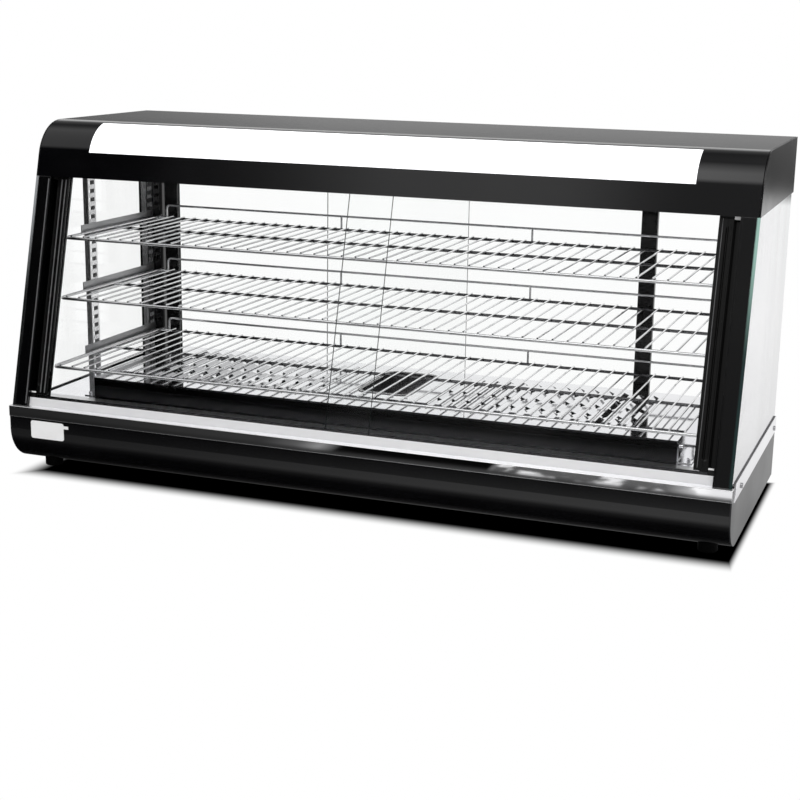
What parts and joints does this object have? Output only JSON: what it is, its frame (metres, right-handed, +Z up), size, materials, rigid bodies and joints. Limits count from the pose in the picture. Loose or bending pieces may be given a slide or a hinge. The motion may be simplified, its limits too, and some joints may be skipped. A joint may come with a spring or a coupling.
{
  "type": "heated display case",
  "caption": "Counter-top heated display case with leaning glass front, sliding doors front and back, wire shelves, lit black hood and rolled black base.",
  "frame": {"origin": "On the floor under the feet, in the middle of the width and of the whole depth from sill lip to hood back.", "axes": "+X to the right seen from the front, +Y to the back, +Z up."},
  "size_m": [1.2064, 0.476, 0.5767],
  "materials": {
    "black_paint": "satin black powder coat",
    "end_paint": "satin black powder coat",
    "polished_steel": "polished stainless",
    "satin_steel": "satin stainless",
    "post_paint": "black anodised look",
    "zinc_steel": "plain stainless",
    "chrome_wire": "bright plated",
    "tray_steel": "heat-darkened stainless",
    "side_glass": "clear",
    "door_glass": "clear",
    "handle_plastic": "fine satin",
    "track_metal": "dark anodised",
    "white_plastic": "smooth",
    "sign_acrylic": "translucent white",
    "lamp_glass": "white coated inside",
    "cream_plastic": "smooth",
    "lamp_case": "white enamel",
    "rubber": "matte",
    "control_plastic": "satin",
    "rocker_plastic": "smooth",
    "amber_lens": "clear lens",
    "heater_sheath": "dark heat-tinted"
  },
  "bodies": {
    "case": {"base_pan": "black_paint", "front_panel": "black_paint", "side_plate_left": "end_paint", "side_plate_right": "end_paint", "side_trim": "polished_steel", "trim_bolts": "zinc_steel", "feet": "rubber", "foot_screws": "zinc_steel", "sill": "polished_steel", "deck": "polished_steel", "rating_plate": "white_plastic", "cable_gland": "control_plastic", "side_glass_left": "side_glass", "side_glass_right": "side_glass", "front_post_left": "post_paint", "front_post_right": "post_paint", "rear_post_left": "post_paint", "rear_post_right": "post_paint", "track_riser": "satin_steel", "front_lower_track": "track_metal", "front_upper_track": "track_metal", "rear_lower_track": "track_metal", "rear_upper_track": "track_metal", "track_stops": "white_plastic", "hood_shell": "black_paint", "hood_ends": "end_paint", "hood_floor": "zinc_steel", "hood_back": "black_paint", "sign_panel": "sign_acrylic", "lamp_tube": "lamp_glass", "lamp_holders": "cream_plastic", "lamp_ballast": "lamp_case", "uprights": "polished_steel", "shelf_rails": "zinc_steel", "heater_cover": "polished_steel", "heating_elements": "heater_sheath", "element_brackets": "zinc_steel", "cover_clips": "polished_steel", "thermostat_body": "control_plastic", "switch_housings": "control_plastic", "indicator_lamp": "amber_lens", "terminal_block": "cream_plastic"},
    "front_door_left": {"front_door_left_glass": "door_glass", "front_door_left_handle": "handle_plastic"},
    "front_door_right": {"front_door_right_glass": "door_glass", "front_door_right_handle": "handle_plastic"},
    "rear_door_left": {"rear_door_left_glass": "door_glass", "rear_door_left_handle": "handle_plastic"},
    "rear_door_right": {"rear_door_right_glass": "door_glass", "rear_door_right_handle": "handle_plastic"},
    "top_shelf": {"shelf_top": "chrome_wire", "shelf_top_fence": "chrome_wire"},
    "middle_shelf": {"shelf_middle": "chrome_wire", "shelf_middle_fence": "chrome_wire"},
    "bottom_shelf": {"shelf_bottom": "chrome_wire", "shelf_bottom_fence": "chrome_wire"},
    "tray": {"water_tray": "tray_steel"},
    "knob": {"thermostat_knob": "control_plastic"},
    "heat_rocker": {"heat_switch_rocker": "rocker_plastic"},
    "light_rocker": {"light_switch_rocker": "rocker_plastic"}
  },
  "joints": [
    {"name": "front_left_slide", "type": "slide", "parent": "case", "child": "front_door_left", "axis": [1, 0, 0], "range_m": [0, 0.52]},
    {"name": "front_right_slide", "type": "slide", "parent": "case", "child": "front_door_right", "axis": [-1, 0, 0], "range_m": [0, 0.52]},
    {"name": "rear_left_slide", "type": "slide", "parent": "case", "child": "rear_door_left", "axis": [1, 0, 0], "range_m": [0, 0.488]},
    {"name": "rear_right_slide", "type": "slide", "parent": "case", "child": "rear_door_right", "axis": [1, 0, 0], "range_m": [-0.332, 0.156]},
    {"name": "top_shelf_lift", "type": "slide", "parent": "case", "child": "top_shelf", "axis": [0, 0, 1], "range_m": [0, 0.012]},
    {"name": "middle_shelf_lift", "type": "slide", "parent": "case", "child": "middle_shelf", "axis": [0, 0, 1], "range_m": [0, 0.02]},
    {"name": "bottom_shelf_lift", "type": "slide", "parent": "case", "child": "bottom_shelf", "axis": [0, 0, 1], "range_m": [0, 0.02]},
    {"name": "tray_lift", "type": "slide", "parent": "case", "child": "tray", "axis": [0, 0, 1], "range_m": [0, 0.008]},
    {"name": "knob_turn", "type": "hinge", "parent": "case", "child": "knob", "pos_m": [0.38, 0.213, 0.074], "axis": [0, -1, 0], "range_deg": [0, 270]},
    {"name": "heat_switch", "type": "hinge", "parent": "case", "child": "heat_rocker", "pos_m": [0.44, 0.209, 0.074], "axis": [1, 0, 0], "range_deg": [-16, 0]},
    {"name": "light_switch", "type": "hinge", "parent": "case", "child": "light_rocker", "pos_m": [0.48, 0.209, 0.074], "axis": [1, 0, 0], "range_deg": [-16, 0]}
  ]
}
